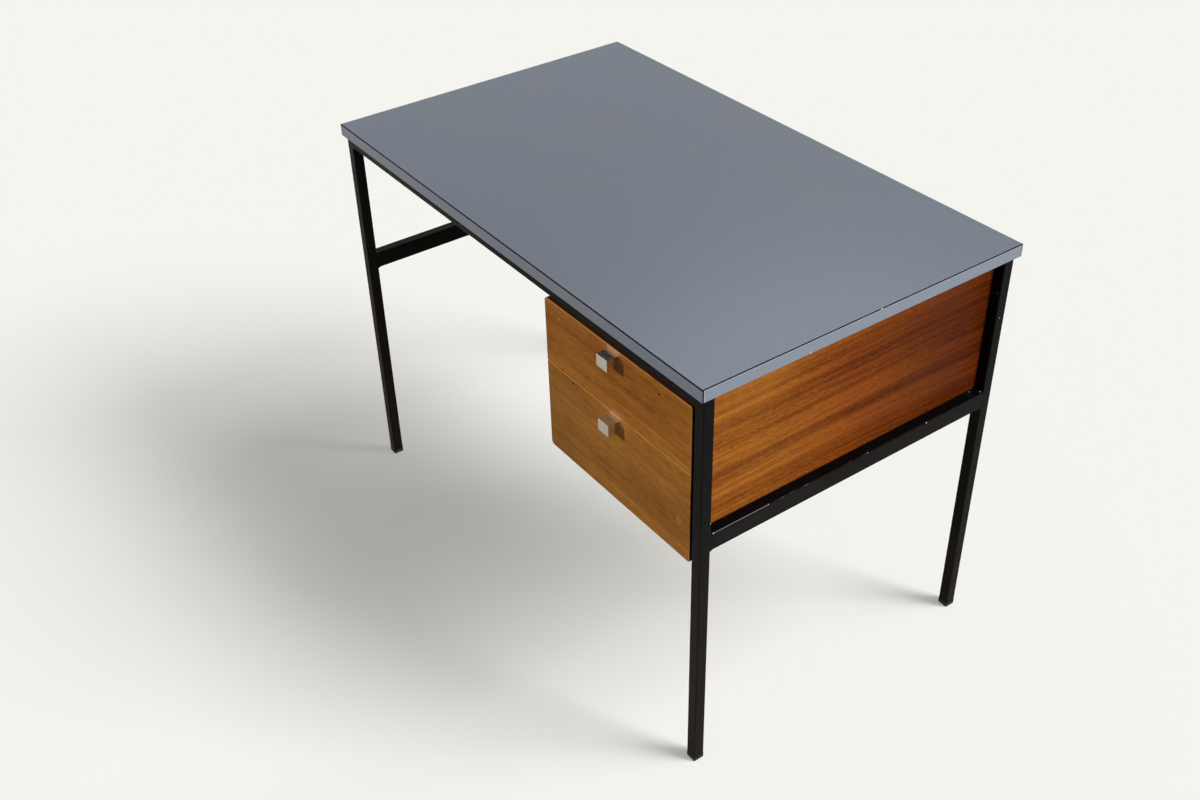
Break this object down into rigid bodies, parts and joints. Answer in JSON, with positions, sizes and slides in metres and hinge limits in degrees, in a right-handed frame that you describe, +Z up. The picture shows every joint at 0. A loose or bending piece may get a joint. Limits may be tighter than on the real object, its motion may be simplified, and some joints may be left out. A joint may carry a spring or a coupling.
{
  "type": "writing desk",
  "caption": "Writing desk: grey laminate top on a black square-tube frame, with a wooden drawer case under its right end.",
  "frame": {"origin": "on the floor, under the middle of the whole desk, knobs included", "axes": "+Z up, +X along the top towards the drawer case, -Y towards the person seated at the desk"},
  "size_m": [1.016, 0.623, 0.737],
  "materials": {
    "laminate": "satin grey-blue decorative laminate",
    "core_board": "raw particle board",
    "backing": "brown balancing sheet",
    "black_enamel": "satin black enamel, slightly chipped",
    "foot_plastic": "black plastic",
    "panel_wood": "ribbon-striped mahogany veneer, satin lacquer",
    "case_wood": "plain hardwood",
    "plywood": "plain plywood",
    "runner_wood": "waxed hardwood",
    "front_wood": "golden mahogany, satin lacquer",
    "drawer_wood": "plain pale hardwood",
    "knob_metal": "satin face, polished sides",
    "screw_steel": "plain steel"
  },
  "bodies": {
    "root": {"top_sheet": "laminate", "edge_strip_front": "laminate", "edge_strip_rear": "laminate", "edge_strip_left": "laminate", "edge_strip_right": "laminate", "top_core": "core_board", "top_backing": "backing", "leg_front_left": "black_enamel", "leg_front_right": "black_enamel", "leg_rear_left": "black_enamel", "leg_rear_right": "black_enamel", "rail_front": "black_enamel", "rail_rear": "black_enamel", "rail_left": "black_enamel", "rail_right": "black_enamel", "foot_front_left": "foot_plastic", "foot_front_right": "foot_plastic", "foot_rear_left": "foot_plastic", "foot_rear_right": "foot_plastic", "case_side_left": "panel_wood", "case_side_right": "panel_wood", "case_stretcher_front": "case_wood", "case_stretcher_rear": "case_wood", "case_floor": "plywood", "case_back": "plywood", "runner_upper_left": "runner_wood", "runner_upper_right": "runner_wood", "runner_lower_left": "runner_wood", "runner_lower_right": "runner_wood", "top_rail_screws": "screw_steel", "case_top_screws": "screw_steel", "case_rail_screws": "screw_steel", "runner_screws": "screw_steel"},
    "upper_drawer": {"upper_drawer_floor": "plywood", "upper_drawer_front": "front_wood", "upper_drawer_side_left": "drawer_wood", "upper_drawer_side_right": "drawer_wood", "upper_drawer_back": "drawer_wood", "upper_knob": "knob_metal", "upper_knob_screw": "screw_steel"},
    "lower_drawer": {"lower_drawer_floor": "plywood", "lower_drawer_front": "front_wood", "lower_drawer_side_left": "drawer_wood", "lower_drawer_side_right": "drawer_wood", "lower_drawer_back": "drawer_wood", "lower_knob": "knob_metal", "lower_knob_screw": "screw_steel"}
  },
  "joints": [
    {"name": "upper_drawer_slide", "type": "slide", "parent": "root", "child": "upper_drawer", "axis": [0, -1, 0], "range_m": [0, 0.36]},
    {"name": "lower_drawer_slide", "type": "slide", "parent": "root", "child": "lower_drawer", "axis": [0, -1, 0], "range_m": [0, 0.36]}
  ]
}
